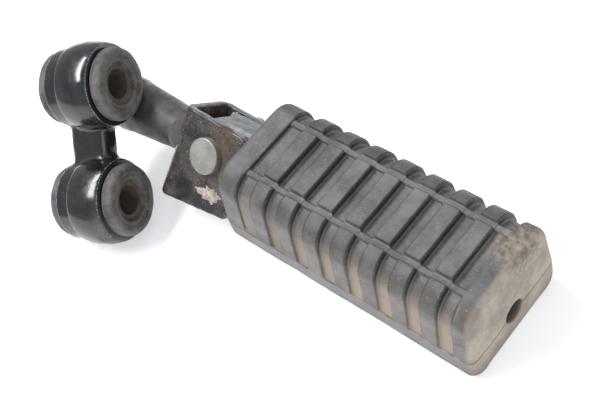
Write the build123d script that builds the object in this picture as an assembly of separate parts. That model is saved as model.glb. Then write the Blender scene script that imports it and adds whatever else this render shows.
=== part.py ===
from build123d import *
import math
import os

# Folding foot peg on a rubber-bushed two-eye hanger, in millimetres.
# Row frame: the origin is the middle of the upper bush bore, +X runs out along the peg,
# +Z is the way the tread faces and +Y is the side away from the hinge pin's head.
#
# Three working frames are used below.
# EYE:   x along the bush bores (outboard), z from the lower eye up to the upper eye.
# HINGE: origin on the hinge pin midway between the ears, x along the peg, y along the pin
#        away from its head, z up in the plane of the ears.
# PEG:   origin as HINGE, axes as the row, so the tread faces +z.

# Hanger layout
hinge_tilt = 42.5
bush_turn = 24.0
bush_sweep = 9.5
arm_reach = 58.0
arm_side = 23.4
arm_drop = 7.0
eye_spacing = 46.4

# Eyes and strut
eye_length = 21.6
eye_crown_radius = 17.9
eye_outboard_radius = 16.6
eye_inboard_radius = 17.2
eye_step_radius = 16.0
eye_step_length = 6.4
eye_bore_radius = 11.0
strut_width = 17.8
strut_thickness = 10.0
strut_shift = -1.1
strut_edge = 3.0

# Arm
arm_root_radius = 11.2
arm_tip_half_width = 10.6
arm_tip_half_height = 7.8
arm_elbow = 2.8
arm_elbow_radius = 11.8
arm_fall = 1.4
neck_radius = 9.0
flange_relief = 0.6

# Rubber bushes and their steel sleeves
bush_flange_radius = 14.6
bush_flange_thickness = 5.0
bush_flange_edge = 1.6
bush_mouth_radius = 8.4
bush_dish_radius = 10.6
bush_dish_depth = 0.6
bush_fit = 0.05
bush_meeting_gap = 0.2
sleeve_radius = 7.5
sleeve_bore_radius = 6.1
sleeve_recess = 2.2

# Clevis
sheet = 3.2
clevis_inside = 18.0
clevis_bend = 1.8
clevis_back = 14.2
clevis_front = 16.8
clevis_top = 14.5
clevis_bottom = 24.9
clevis_bottom_rise = 4.4
clevis_corner = 4.0
clevis_lean = 6.66
clevis_top_fall = 1.2
weld_width = 1.9
weld_edge = 0.4
weld_length = 5.6

# Hinge pin and what is threaded on it
pin_radius = 4.0
pin_fit = 0.05
pin_head_radius = 7.2
pin_head_thickness = 2.6
pin_head_edge = 0.6
pin_tail = 3.4
pin_washer_radius = 8.0
pin_washer_thickness = 1.6
split_pin_radius = 1.0
split_pin_fit = 0.15
split_pin_reach = 7.5
split_pin_eye = 2.4
thrust_washer_radius = 8.5
thrust_washer_thickness = 1.0
spring_radius = 8.5
spring_sheet = 0.5
spring_lift = 0.35
side_play = 0.05

# Tongue and core of the peg
heel_gap = 0.2
heel_depth = 18.5
heel_length = 4.0
tongue_edge = 1.2
tongue_reach = 19.6
neck_half_height = 7.5
plate_start = 24.0
plate_thickness = 3.0
plate_width = 34.0
plate_height = 20.0
plate_corner = 5.0
core_width = 22.0
core_height = 10.0
core_end = 118.0
core_edge = 1.5
core_weld_leg = 1.6
core_fit = 0.1

# Rubber pad
pad_start = 20.8
pad_collar = 10.5
first_gap = 6.75
rib_pitch = 12.5
rib_width = 7.25
rib_count = 7
cap_length = 7.5
cap_edge = 3.2
seam_level = 24.0
pad_bottom = 13.0
pad_half_width = 24.5
side_lean = 3.2
collar_edge = 2.4
collar_rise = 0.6
collar_shoulder = 8.8
floor_depth = 1.1
floor_inset = 0.7
floor_shoulder = 9.5
block_rise = 1.6
block_proud = 0.5
block_shoulder = 10.0
bar_rise = 1.8
bar_half_length = 11.4
band_width = 2.6
base_corner = 6.5
end_hole_radius = 4.6

# End screw
washer_radius = 10.0
washer_thickness = 1.6
screw_radius = 2.5
screw_length = 12.0
screw_head_radius = 4.25
screw_head_height = 5.0
screw_socket = 2.0
screw_socket_depth = 2.5

# What follows from the sizes above
EYE = Rot(X=-hinge_tilt) * Rot(Y=-bush_turn) * Rot(Z=bush_sweep)
LOWER_EYE = EYE * Pos(0, 0, -eye_spacing)
HINGE = Rot(X=-hinge_tilt) * Pos(arm_reach, arm_side, -arm_drop)
PEG = HINGE * Rot(X=hinge_tilt)
clevis_half = clevis_inside / 2 + sheet
web_slope = math.tan(math.radians(clevis_lean))
heel_reach = clevis_back + (clevis_top + heel_depth) * web_slope - heel_gap
tongue_nose = clevis_back - heel_gap
tongue_half = clevis_inside / 2 - thrust_washer_thickness - 2 * side_play
first_rib = pad_start + pad_collar + first_gap
rib_gap = rib_pitch - rib_width
cap_start = first_rib + (rib_count - 1) * rib_pitch + rib_width + rib_gap
pad_end = cap_start + cap_length


def rod_x(radius, start, end):
    """A round bar along x."""
    return Pos((start + end) / 2, 0, 0) * Rot(Y=90) * Cylinder(radius, end - start)


def rod_y(radius, start, end):
    """A round bar along y."""
    return Pos(0, (start + end) / 2, 0) * Rot(X=90) * Cylinder(radius, end - start)


def turned_x(corners):
    """A turned ring about x, from (x, radius) corners of its section."""
    section = Plane.XZ * make_face(Polyline(*corners, close=True))
    return revolve(section, Axis.X)


def bar_x(outline, start, end):
    """A bar along x from an outline drawn in (y, z)."""
    return extrude(Plane.YZ.offset(start) * outline, end - start)


def eye_barrel():
    """One eye: a crowned barrel with a smaller step on its inboard side, not yet bored."""
    half = eye_length / 2
    step = -half + eye_step_length
    middle = (half + step) / 2
    crown = ThreePointArc(
        (step, eye_inboard_radius), (middle, eye_crown_radius), (half, eye_outboard_radius)
    )
    rest = Polyline(
        (half, eye_outboard_radius),
        (half, 0),
        (-half, 0),
        (-half, eye_step_radius),
        (step, eye_step_radius),
        (step, eye_inboard_radius),
    )
    return revolve(Plane.XZ * make_face(crown + rest), Axis.X)


def strut():
    """The upright bar between the two eyes."""
    bar = Box(strut_width, strut_thickness, eye_spacing)
    bar = fillet(bar.edges().filter_by(Axis.Z), strut_edge)
    return Pos(strut_shift, 0, -eye_spacing / 2) * bar


def clevis_prism(half_width, back, bend):
    """An upright block for the clevis, from its back face past its front, leaning like the web."""
    height = 2 * (clevis_bottom + clevis_top)
    length = back + 2 * clevis_front
    plan = Pos(length / 2 - back, 0) * Rectangle(length, 2 * half_width)
    plan = fillet(plan.vertices().group_by(Axis.X)[0], bend)
    prism = extrude(Plane.XY.offset(-height / 2) * plan, height)
    top = Pos(-clevis_back, 0, clevis_top)
    return top * Rot(Y=clevis_lean) * top.inverse() * prism


def clevis_block():
    """The clevis's outer shape, as if it were solid."""
    return clevis_prism(clevis_half, clevis_back + sheet, clevis_bend + sheet)


def arm_bar():
    """The tapering oval part of the arm, from its elbow to inside the clevis's bend."""
    root = Plane.YZ.offset(-arm_reach + arm_elbow) * Pos(0, -arm_fall) * Circle(arm_root_radius)
    tip = Plane.YZ.offset(-clevis_back) * Ellipse(arm_tip_half_width, arm_tip_half_height)
    return loft([root, tip])


def arm_elbow_and_neck():
    """The round elbow behind the upper eye and the neck that joins it to the barrel."""
    elbow = Vector(-arm_reach + arm_elbow, 0, -arm_fall)
    eye = Vector(-arm_reach, -arm_side, arm_drop)
    neck = Plane(origin=elbow, z_dir=eye - elbow) * Circle(neck_radius)
    return Pos(*elbow) * Sphere(arm_elbow_radius) + extrude(neck, (eye - elbow).length)


def hanger_forging():
    """The two eyes, their strut and the arm, forged in one."""
    arm = HINGE * (arm_bar() - clevis_block() + arm_elbow_and_neck())
    body = EYE * (eye_barrel() + strut()) + LOWER_EYE * eye_barrel() + arm
    half = eye_length / 2
    outside = half + bush_flange_thickness + flange_relief
    relief = bush_flange_radius + flange_relief
    for place in (EYE, LOWER_EYE):
        body -= place * rod_x(eye_bore_radius, -outside, outside)
        body -= place * rod_x(relief, half, outside)
        body -= place * rod_x(relief, -outside, -half)
    return body


def bush_half():
    """One flanged rubber half-bush, on the outboard side of an eye."""
    face = eye_length / 2 + bush_flange_thickness
    seat = eye_length / 2 + bush_fit
    neck = eye_bore_radius - bush_fit
    bore = sleeve_radius + bush_fit
    ring = turned_x(
        [
            (bush_meeting_gap / 2, bore),
            (bush_meeting_gap / 2, neck),
            (seat, neck),
            (seat, bush_flange_radius),
            (face, bush_flange_radius),
            (face, bush_dish_radius),
            (face - bush_dish_depth, bush_mouth_radius),
            (face - sleeve_recess, bore),
        ]
    )
    rim = ring.edges().filter_by(GeomType.CIRCLE)
    rim = rim.filter_by(lambda edge: abs(edge.radius - bush_flange_radius) < bush_fit)
    return fillet(rim, bush_flange_edge)


def bush_sleeve():
    """The steel tube that the mounting bolt passes through."""
    half = eye_length / 2 + bush_flange_thickness - sleeve_recess
    return rod_x(sleeve_radius, -half, half) - rod_x(sleeve_bore_radius, -half, half)


def clevis():
    """The bent sheet clevis: a web across the arm's end and two ears."""
    inner = clevis_prism(clevis_inside / 2, clevis_back, clevis_bend)
    back = -clevis_back - sheet
    low_back = back - (clevis_top + clevis_bottom) * web_slope
    corners = [
        (back - sheet, clevis_top),
        (clevis_front, clevis_top - clevis_top_fall),
        (clevis_front, clevis_bottom_rise - clevis_bottom),
        (low_back, -clevis_bottom),
    ]
    side = make_face(Polyline(*corners, close=True))
    by_reach = side.vertices().sort_by(Axis.X)
    side = fillet(by_reach[:1] + by_reach[2:], clevis_corner)
    side = extrude(Plane.XZ * side, clevis_half, both=True)
    hole = rod_y(pin_radius + pin_fit, -clevis_half, clevis_half)
    return HINGE * ((clevis_block() & side) - inner - hole)


def arm_weld():
    """The weld bead round the arm's end, lying on the web and its bends."""
    outer = Plane.YZ.offset(-clevis_back) * Ellipse(
        arm_tip_half_width + weld_width, arm_tip_half_height + weld_width
    )
    thin = Plane.YZ.offset(-clevis_back - sheet - weld_length) * Ellipse(
        arm_tip_half_width + weld_edge, arm_tip_half_height + weld_edge
    )
    return HINGE * (loft([outer, thin]) - clevis_block() - arm_bar())


def hinge_pin():
    """The pin: a round head on the near ear, and a tail cross-drilled for the split pin."""
    tail = clevis_half + pin_washer_thickness + 2 * split_pin_radius + pin_tail
    head = rod_y(pin_head_radius, -clevis_half - pin_head_thickness, -clevis_half)
    head = fillet(head.edges().group_by(Axis.Y)[0], pin_head_edge)
    pin = head + rod_y(pin_radius, -clevis_half, tail)
    hole = Cylinder(split_pin_radius + split_pin_fit, 4 * pin_radius)
    return HINGE * (pin - split_pin_place() * hole)


def split_pin_place():
    """Where the split pin crosses the hinge pin's tail, in the HINGE frame."""
    return Pos(0, clevis_half + pin_washer_thickness + split_pin_radius + split_pin_fit, 0)


def split_pin():
    """The split pin through the hinge pin's tail, with its eye on top."""
    legs = Cylinder(split_pin_radius, 2 * split_pin_reach)
    eye = Rot(X=90) * Torus(split_pin_eye, split_pin_radius)
    eye = Pos(0, 0, split_pin_reach + split_pin_eye) * eye
    return HINGE * split_pin_place() * (legs + eye)


def flat_washer(radius, bore, start, thickness):
    """A flat washer on the hinge pin, in the HINGE frame."""
    ring = rod_y(radius, start, start + thickness) - rod_y(bore, start, start + thickness)
    return HINGE * ring


def pin_washer():
    """The washer between the far ear and the split pin."""
    return flat_washer(pin_washer_radius, pin_radius + pin_fit, clevis_half, pin_washer_thickness)


def thrust_washer():
    """The washer between the near ear and the tongue."""
    start = -clevis_inside / 2
    return flat_washer(thrust_washer_radius, pin_radius + pin_fit, start, thrust_washer_thickness)


def disc_spring():
    """The coned washer between the tongue and the far ear, which gives the fold its drag."""
    bore = pin_radius + 2 * pin_fit
    near = clevis_inside / 2 - spring_sheet - spring_lift
    section = Polyline(
        (bore, near),
        (spring_radius, near + spring_lift),
        (spring_radius, near + spring_lift + spring_sheet),
        (bore, near + spring_sheet),
        close=True,
    )
    return HINGE * revolve(make_face(section), Axis.Y)


def tongue_outline():
    """The tongue from the side: a round nose, a flat top and a heel that meets the leaning web."""
    nose = Circle(tongue_nose)
    body = Pos(tongue_reach / 2, 0) * Rectangle(tongue_reach, 2 * tongue_nose)
    corners = [
        (-tongue_nose, 0),
        (-heel_reach, -heel_depth),
        (heel_length, -heel_depth),
        (heel_length, 0),
    ]
    return nose + body + make_face(Polyline(*corners, close=True))


def tongue_neck(fit):
    """The narrower part of the tongue inside the pad, grown by a fit."""
    length = plate_start - tongue_reach + fit
    size = (length, 2 * (tongue_half + fit), 2 * (neck_half_height + fit))
    return HINGE * Pos(tongue_reach + length / 2, 0, 0) * Box(*size)


def peg_tongue():
    """The tongue that the pin passes through, with its neck down to the backing plate."""
    block = extrude(Plane.XZ * tongue_outline(), tongue_half, both=True)
    sides = block.faces().filter_by(Axis.Y)
    block = chamfer(sides.edges(), tongue_edge)
    hole = rod_y(pin_radius + pin_fit, -tongue_half, tongue_half)
    return HINGE * (block - hole) + tongue_neck(0)


def backing_plate_block(fit):
    """The plate inside the pad's collar, grown by a fit."""
    outline = RectangleRounded(plate_width + 2 * fit, plate_height + 2 * fit, plate_corner)
    return PEG * bar_x(outline, plate_start, plate_start + plate_thickness)


def core_weld():
    """The weld between the tongue's neck and the backing plate."""
    collar = Plane.YZ.offset(plate_start) * Rectangle(
        2 * (tongue_half + core_weld_leg), 2 * (neck_half_height + core_weld_leg)
    )
    thin = Plane.YZ.offset(plate_start - core_weld_leg) * Rectangle(
        2 * (tongue_half + core_fit), 2 * (neck_half_height + core_fit)
    )
    return HINGE * loft([thin, collar]) - tongue_neck(0)


def core_weld_room():
    """The room for that weld in the pad."""
    grown = core_weld_leg + core_fit
    size = (core_weld_leg, 2 * (tongue_half + grown), 2 * (neck_half_height + grown))
    return HINGE * Pos(plate_start - core_weld_leg / 2, 0, 0) * Box(*size)


def core_bar_block(fit):
    """The flat bar inside the pad, grown by a fit."""
    start = plate_start + plate_thickness
    outline = RectangleRounded(core_width + 2 * fit, core_height + 2 * fit, core_edge)
    return PEG * bar_x(outline, start, core_end)


def core_bar():
    """The flat bar with the screw hole in its outer end."""
    return core_bar_block(0) - PEG * rod_x(screw_radius + pin_fit, core_end - screw_length, core_end)


def end_washer():
    """The washer that keeps the pad on the bar."""
    ring = rod_x(washer_radius, core_end, core_end + washer_thickness)
    return PEG * (ring - rod_x(screw_radius + pin_fit, core_end, core_end + washer_thickness))


def end_screw():
    """The socket-head screw in the bar's end, at the bottom of the pad's end hole."""
    seat = core_end + washer_thickness
    top = seat + screw_head_height
    body = rod_x(screw_radius, core_end - screw_length + pin_fit, seat)
    body += rod_x(screw_head_radius, seat, top)
    socket = bar_x(RegularPolygon(screw_socket, 6), top - screw_socket_depth, top)
    return PEG * (body - socket)


def pad_outline(half_width, top, shoulder):
    """A D-shaped pad section in (y, z): leaning sides, rounded shoulders and a flatter base."""
    half_top = half_width - side_lean
    corners = [
        (half_width, 0),
        (half_top, top),
        (-half_top, top),
        (-half_width, 0),
        (-half_width, -pad_bottom),
        (half_width, -pad_bottom),
    ]
    outline = make_face(Polyline(*corners, close=True))
    outline = fillet(outline.vertices().group_by(Axis.Y)[-1], shoulder)
    return fillet(outline.vertices().group_by(Axis.Y)[0], base_corner)


def collar_outline():
    """The section of the collar, of the end cap and of everything below the parting line."""
    return pad_outline(pad_half_width, seam_level + collar_rise, collar_shoulder)


def pad_body():
    """The solid pad before ribs: a floor, a full-width base, the collar and the end cap."""
    floor = pad_outline(pad_half_width - floor_inset, seam_level - floor_depth, floor_shoulder)
    below = Pos(0, -pad_bottom / 2) * Rectangle(2 * pad_half_width, pad_bottom)
    inside_collar = pad_start + pad_collar / 2
    body = bar_x(floor, inside_collar, pad_end - cap_length)
    body += bar_x(collar_outline() & below, inside_collar, pad_end - cap_length)
    collar = bar_x(collar_outline(), pad_start, pad_start + pad_collar)
    body += fillet(collar.faces().sort_by(Axis.X)[0].edges(), collar_edge)
    cap = bar_x(collar_outline(), cap_start, pad_end)
    cap = fillet(cap.faces().sort_by(Axis.X)[-1].edges(), cap_edge)
    return body + cap


def side_block_outline():
    """The section of a pair of side blocks, from the seam bands down to the parting line."""
    outer = pad_outline(pad_half_width + block_proud, seam_level + block_rise, block_shoulder)
    middle = Rectangle(2 * (bar_half_length + band_width), 4 * seam_level)
    below = Pos(0, -seam_level) * Rectangle(4 * pad_half_width, 2 * seam_level)
    return outer - middle - below


def tread():
    """The raised tread: seven rows of a top bar and two side blocks, and the seam bands."""
    bar_height = bar_rise + floor_depth
    bar = Pos(0, seam_level + bar_rise - bar_height / 2) * Rectangle(2 * bar_half_length, bar_height)
    blocks = side_block_outline()
    ribs = []
    for number in range(rib_count):
        start = first_rib + number * rib_pitch
        ribs.append(bar_x(bar, start, start + rib_width))
        ribs.append(bar_x(blocks, start, start + rib_width))
    for side in (-1, 1):
        middle = side * (bar_half_length + band_width / 2)
        band = Pos(middle, seam_level - floor_depth) * Rectangle(band_width, 2 * floor_depth)
        ribs.append(bar_x(band, pad_start + pad_collar / 2, pad_end - cap_length))
    return ribs


def rubber_pad():
    """The moulded pad with its tread, pushed over the plate and the bar."""
    body = pad_body()
    for rib in tread():
        body += rib
    seat = core_end + washer_thickness
    body -= rod_x(washer_radius + core_fit, core_end - core_fit, seat + core_fit)
    body -= rod_x(end_hole_radius, seat, pad_end)
    body = PEG * body - tongue_neck(core_fit) - core_weld_room()
    return body - backing_plate_block(core_fit) - core_bar_block(core_fit)


def save(name, shape):
    """Write one piece to its own STEP file."""
    shape.label = name
    export_step(shape, "parts/" + name + ".step")
    print(name, round(shape.volume, 1), "mm3,", len(shape.solids()), "solid(s)")


os.makedirs("parts", exist_ok=True)
save("hanger_forging", hanger_forging())
save("clevis", clevis())
save("arm_weld", arm_weld())
for eye_name, eye_place in (("upper", EYE), ("lower", LOWER_EYE)):
    save(eye_name + "_bush_outboard", eye_place * bush_half())
    save(eye_name + "_bush_inboard", eye_place * Rot(Z=180) * bush_half())
    save(eye_name + "_sleeve", eye_place * bush_sleeve())
save("hinge_pin", hinge_pin())
save("pin_washer", pin_washer())
save("split_pin", split_pin())
save("thrust_washer", thrust_washer())
save("disc_spring", disc_spring())
save("peg_tongue", peg_tongue())
save("backing_plate", backing_plate_block(0))
save("core_weld", core_weld())
save("core_bar", core_bar())
save("end_washer", end_washer())
save("end_screw", end_screw())
save("rubber_pad", rubber_pad())
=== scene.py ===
# %% [markdown]
# # A folding foot peg on its rubber-bushed hanger
# A rubber pad with a ribbed tread is pushed over a steel bar, and the bar folds up on a pin in
# a bent steel clevis. The clevis sits on the end of a forged arm, and the forging has two eyes
# with a rubber bush in each end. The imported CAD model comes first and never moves: each piece
# below either stands in its place or gives its surface a finish.

# %% Load the fixed frame
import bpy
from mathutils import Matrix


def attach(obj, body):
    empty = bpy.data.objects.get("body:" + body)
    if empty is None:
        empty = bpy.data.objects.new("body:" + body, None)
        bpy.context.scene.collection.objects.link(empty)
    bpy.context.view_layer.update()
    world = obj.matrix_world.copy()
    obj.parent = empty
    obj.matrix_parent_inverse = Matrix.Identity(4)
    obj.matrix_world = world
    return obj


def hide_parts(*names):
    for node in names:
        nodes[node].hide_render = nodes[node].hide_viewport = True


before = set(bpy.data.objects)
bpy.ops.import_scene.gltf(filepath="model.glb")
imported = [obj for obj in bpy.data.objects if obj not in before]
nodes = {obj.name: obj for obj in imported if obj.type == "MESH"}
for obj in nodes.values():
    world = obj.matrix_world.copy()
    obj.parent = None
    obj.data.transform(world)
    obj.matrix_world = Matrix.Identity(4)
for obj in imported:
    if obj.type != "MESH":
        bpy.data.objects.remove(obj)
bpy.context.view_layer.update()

# %% [markdown]
# Everything is measured in millimetres while it is being shaped and goes into metres at the
# end. Three working frames follow the part: EYE lies on the bush bores, HINGE lies on the
# hinge pin with x along the arm, and PEG has the pin as its origin and the row's own axes.

# %% Tools and working frames
import math
import random

import bmesh
import bpy
import numpy as np
from mathutils import Matrix, Vector, noise

MM = 0.001
HINGE_TILT = -42.5


def turn(axis, degrees):
    """A turn about X, Y or Z as a 4 by 4 matrix."""
    return Matrix.Rotation(math.radians(degrees), 4, axis)


def shift(x, y, z):
    """A move in millimetres as a 4 by 4 matrix."""
    return Matrix.Translation((x, y, z))


EYE = turn("X", HINGE_TILT) @ turn("Y", -24.0) @ turn("Z", 9.5)
LOWER_EYE = EYE @ shift(0, 0, -46.4)
HINGE = turn("X", HINGE_TILT) @ shift(58.0, 23.4, -7.0)
PEG = HINGE @ turn("X", -HINGE_TILT)
print("pin in mm:", [round(v, 2) for v in PEG.translation])

# %% [markdown]
# The camera looks down on the peg's outer end from the pin head's side, and is rolled a little
# clockwise. It is set by what it aims at, how far away it is and three angles, so that each
# can be changed alone.

# %% Camera
AIM = Vector((103.6, 6.4, -12.8)) * MM
CAMERA_DISTANCE = 400 * MM
AZIMUTH, ELEVATION, ROLL = 58.63, 52.09, 23.0
a, e = math.radians(AZIMUTH), math.radians(ELEVATION)
back = Vector((math.sin(a) * math.cos(e), -math.cos(a) * math.cos(e), math.sin(e)))
camera_data = bpy.data.cameras.new("camera")
camera_data.lens = 66
camera_data.sensor_width = 36
camera_data.clip_start, camera_data.clip_end = 0.02, 10
camera = bpy.data.objects.new("camera", camera_data)
camera.rotation_mode = "QUATERNION"
roll_turn = Matrix.Rotation(math.radians(-ROLL), 3, "Z").to_quaternion()
camera.rotation_quaternion = (-back).to_track_quat("-Z", "Y") @ roll_turn
camera.location = AIM + back * CAMERA_DISTANCE
bpy.context.scene.collection.objects.link(camera)
bpy.context.scene.camera = camera
print("camera at", [round(1000 * v, 1) for v in camera.location])

# %% [markdown]
# Meshes are built from arrays of points and faces. Points are given in millimetres in one of
# the working frames, and the frame's matrix puts them in their place in the row.

# %% From points to an object
def placed(points, matrix):
    """Points in millimetres of a working frame, as metres in the row."""
    m = np.array(matrix)
    return (np.asarray(points, float) @ m[:3, :3].T + m[:3, 3]) * MM


def mesh_object(name, points, faces, smooth=True):
    """A mesh object at the origin, from points in metres."""
    mesh = bpy.data.meshes.new(name)
    mesh.from_pydata([tuple(p) for p in points], [], [tuple(f) for f in faces])
    mesh.validate()
    mesh.polygons.foreach_set("use_smooth", [smooth] * len(mesh.polygons))
    obj = bpy.data.objects.new(name, mesh)
    bpy.context.scene.collection.objects.link(obj)
    return obj


def points_of(obj):
    """The vertices of a mesh object as an array, in metres."""
    flat = np.zeros(len(obj.data.vertices) * 3, np.float32)
    obj.data.vertices.foreach_get("co", flat)
    return flat.reshape(-1, 3).astype(float)


def move_points(obj, points):
    """Puts changed points back into a mesh object."""
    obj.data.vertices.foreach_set("co", np.asarray(points, np.float32).ravel())
    obj.data.update()


def normals_of(obj):
    """The vertex normals of a mesh object as an array."""
    flat = np.zeros(len(obj.data.vertices) * 3, np.float32)
    obj.data.vertex_normals.foreach_get("vector", flat)
    return flat.reshape(-1, 3).astype(float)


def keep_value(obj, name, values):
    """Stores one number for each vertex, for the materials to read."""
    attribute = obj.data.attributes.get(name) or obj.data.attributes.new(name, "FLOAT", "POINT")
    attribute.data.foreach_set("value", np.asarray(values, np.float32))


def settle(obj):
    """Applies what the modifiers make of an object and removes them."""
    evaluated = obj.evaluated_get(bpy.context.evaluated_depsgraph_get())
    finished = bpy.data.meshes.new_from_object(evaluated)
    obj.modifiers.clear()
    obj.data = finished
    return obj


def lumps(points, size, seed):
    """Smooth noise from -1 to 1 at each point in metres, with lumps of a size in millimetres."""
    offset = Vector((seed * 3.1, seed * 7.7, seed * 1.3))
    scale = 1.0 / (size * MM)
    return np.array([noise.noise(Vector(p) * scale + offset) for p in points])


# %% [markdown]
# Worn metal and dirty rubber differ at edges and in hollows, and the pad's hollows also get painted
# shade. Each remade mesh therefore keeps two values at its vertices: "edge" is high where the
# surface sticks out, and "hollow" is high where it dips in. They come from how far a smoothed copy
# of the surface lies below or above.

# %% Edges and hollows
def mark_relief(obj, reach, steps):
    """Stores "edge" and "hollow" from 0 to 1, where 1 is relief as deep as the reach in mm."""
    points = points_of(obj)
    pairs = np.zeros(len(obj.data.edges) * 2, np.int32)
    obj.data.edges.foreach_get("vertices", pairs)
    a, b = pairs.reshape(-1, 2).T
    count = np.maximum(np.bincount(a, minlength=len(points)) + np.bincount(b, minlength=len(points)), 1)
    smooth = points.copy()
    for _ in range(steps):
        total = np.zeros_like(smooth)
        for axis in range(3):
            total[:, axis] = np.bincount(a, smooth[b, axis], len(points))
            total[:, axis] += np.bincount(b, smooth[a, axis], len(points))
        smooth = 0.5 * smooth + 0.5 * total / count[:, None]
    rise = ((points - smooth) * normals_of(obj)).sum(1) / (reach * MM)
    keep_value(obj, "edge", np.clip(rise, 0, 1))
    keep_value(obj, "hollow", np.clip(-rise, 0, 1))


# %% [markdown]
# The pad is one moulding whose shape follows a rule, so it is a grid. Lines run round its section
# and stations run along it. Each grid point has a ray, and the surface sits at a level on that
# ray. There are three levels, for the collar and cap, for a rib, and for the floor of a gap. The
# sides lean in towards the top, as moulded rubber does to leave its mould. A Geometry Nodes tree
# then picks the level at each station, which makes the ribs.

# %% Sizes of the rubber pad, in millimetres from the pin
PAD_START, COLLAR, FIRST_GAP = 20.8, 10.5, 6.75
PITCH, RIB, RIBS = 12.5, 7.25, 7
CAP, CAP_EDGE, COLLAR_EDGE = 7.5, 3.2, 2.4
LEAN = 3.2
HALF_WIDTH, SEAM, BOTTOM = 24.5, 24.0, -13.0
COLLAR_TOP, COLLAR_SHOULDER = 24.6, 7.3
FLOOR_TOP, FLOOR_WIDTH, FLOOR_SHOULDER = 22.9, 23.8, 8.5
BLOCK_TOP, BLOCK_WIDTH, BLOCK_SHOULDER = 25.6, 25.0, 8.7
BAR_TOP, BAR_HALF, BAND = 25.8, 11.4, 2.6
STEP_EASE = 0.2
BAND_EDGE = BAR_HALF + BAND
BASE_CORNER, HOLE, HOLE_DEPTH = 6.5, 4.6, 13.2
SPINE_WIDTH, SPINE_TOP, SPINE_BOTTOM = 14.5, 10.0, -5.5
FIRST_RIB = PAD_START + COLLAR + FIRST_GAP
CAP_START = FIRST_RIB + RIBS * PITCH
PAD_END = CAP_START + CAP
print("pad from", PAD_START, "to", PAD_END, "with", RIBS, "ribs")


# %% The lines round the section
def section_rays():
    """Starts and directions, in (y, z), of the rays round the pad's section."""
    across = [0, 2.5, 5, 7.5, 9.5, 10.6, 11.0, 11.2, 11.33, 11.45, 11.6, 12.0, 12.6, 13.2, 13.6]
    across += [13.8, 13.93, 14.05, 14.2]
    upper = [((y, SPINE_TOP), (0, 1)) for y in across]
    for degree in np.linspace(0, 90, 20):
        t = math.radians(degree)
        upper.append(((SPINE_WIDTH, SPINE_TOP), (math.sin(t), math.cos(t))))
    down = [8.5, 7, 5.5, 4, 2.8, 2.0, 1.5, 1.15, 0.9, 0.7, 0.5, 0.3, 0.15, 0, -0.15, -0.3, -0.5]
    down += [-0.9, -1.6, -2.6, -3.8, -4.8]
    for z in down:
        upper.append(((SPINE_WIDTH, z), (1, 0)))
    for degree in np.linspace(90, 180, 14):
        t = math.radians(degree)
        upper.append(((SPINE_WIDTH, SPINE_BOTTOM), (math.sin(t), math.cos(t))))
    for y in (12.5, 10, 7.5, 5, 2.5, 0):
        upper.append(((y, SPINE_BOTTOM), (0, -1)))
    other = [((-p[0], p[1]), (-d[0], d[1])) for p, d in upper[-2:0:-1]]
    rays = upper + other
    return np.array([r[0] for r in rays], float), np.array([r[1] for r in rays], float)


def level_on(starts, rays, half_width, top, shoulder):
    """How far along each ray the outline of a D-shaped section with leaning sides lies."""
    middle, half = (top + BOTTOM) / 2, (top - BOTTOM) / 2
    low, high = np.zeros(len(rays)), np.full(len(rays), 60.0)
    for _ in range(40):
        t = (low + high) / 2
        p = starts + rays * t[:, None]
        up = p[:, 1] - middle
        r = np.where(up > 0, shoulder, BASE_CORNER)
        across = np.abs(p[:, 0]) + LEAN * np.clip(p[:, 1] / top, 0, 1)
        q = np.stack([across - (half_width - r), np.abs(up) - (half - r)], 1)
        away = np.linalg.norm(np.maximum(q, 0), axis=1) + np.minimum(q.max(1), 0) - r
        low, high = np.where(away < 0, t, low), np.where(away < 0, high, t)
    return low


def ramp(value, low, high):
    """0 below low, 1 above high, and smooth between."""
    t = np.clip((np.asarray(value, float) - low) / (high - low), 0, 1)
    return t * t * (3 - 2 * t)


starts, rays = section_rays()
on_top = (rays[:, 1] > 0.999) & (starts[:, 1] == SPINE_TOP)
across = np.abs(starts[:, 0])
in_bar = np.where(on_top, 1 - ramp(across, BAR_HALF - STEP_EASE, BAR_HALF + STEP_EASE), 0)
in_block = np.where(on_top, ramp(across, BAND_EDGE - STEP_EASE, BAND_EDGE + STEP_EASE), 1)
above_parting = np.where(rays[:, 1] < -0.01, 0.0, 1.0)
above_parting = np.where(np.abs(rays[:, 1]) < 0.01, ramp(starts[:, 1], 0.2, 1.3), above_parting)
collar_level = level_on(starts, rays, HALF_WIDTH, COLLAR_TOP, COLLAR_SHOULDER)
floor_level = level_on(starts, rays, FLOOR_WIDTH, FLOOR_TOP, FLOOR_SHOULDER)
block_level = level_on(starts, rays, BLOCK_WIDTH, BLOCK_TOP, BLOCK_SHOULDER)
band_level = np.full(len(rays), SEAM - SPINE_TOP)
bar_level = np.full(len(rays), BAR_TOP - SPINE_TOP)
in_band = np.clip(1 - in_bar - in_block, 0, 1)
rib_level = in_bar * bar_level + in_band * band_level + in_block * block_level
gap_level = (in_bar + in_block) * floor_level + in_band * band_level
rib_level = above_parting * rib_level + (1 - above_parting) * collar_level
gap_level = above_parting * gap_level + (1 - above_parting) * collar_level
print(len(rays), "lines round the section")


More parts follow.
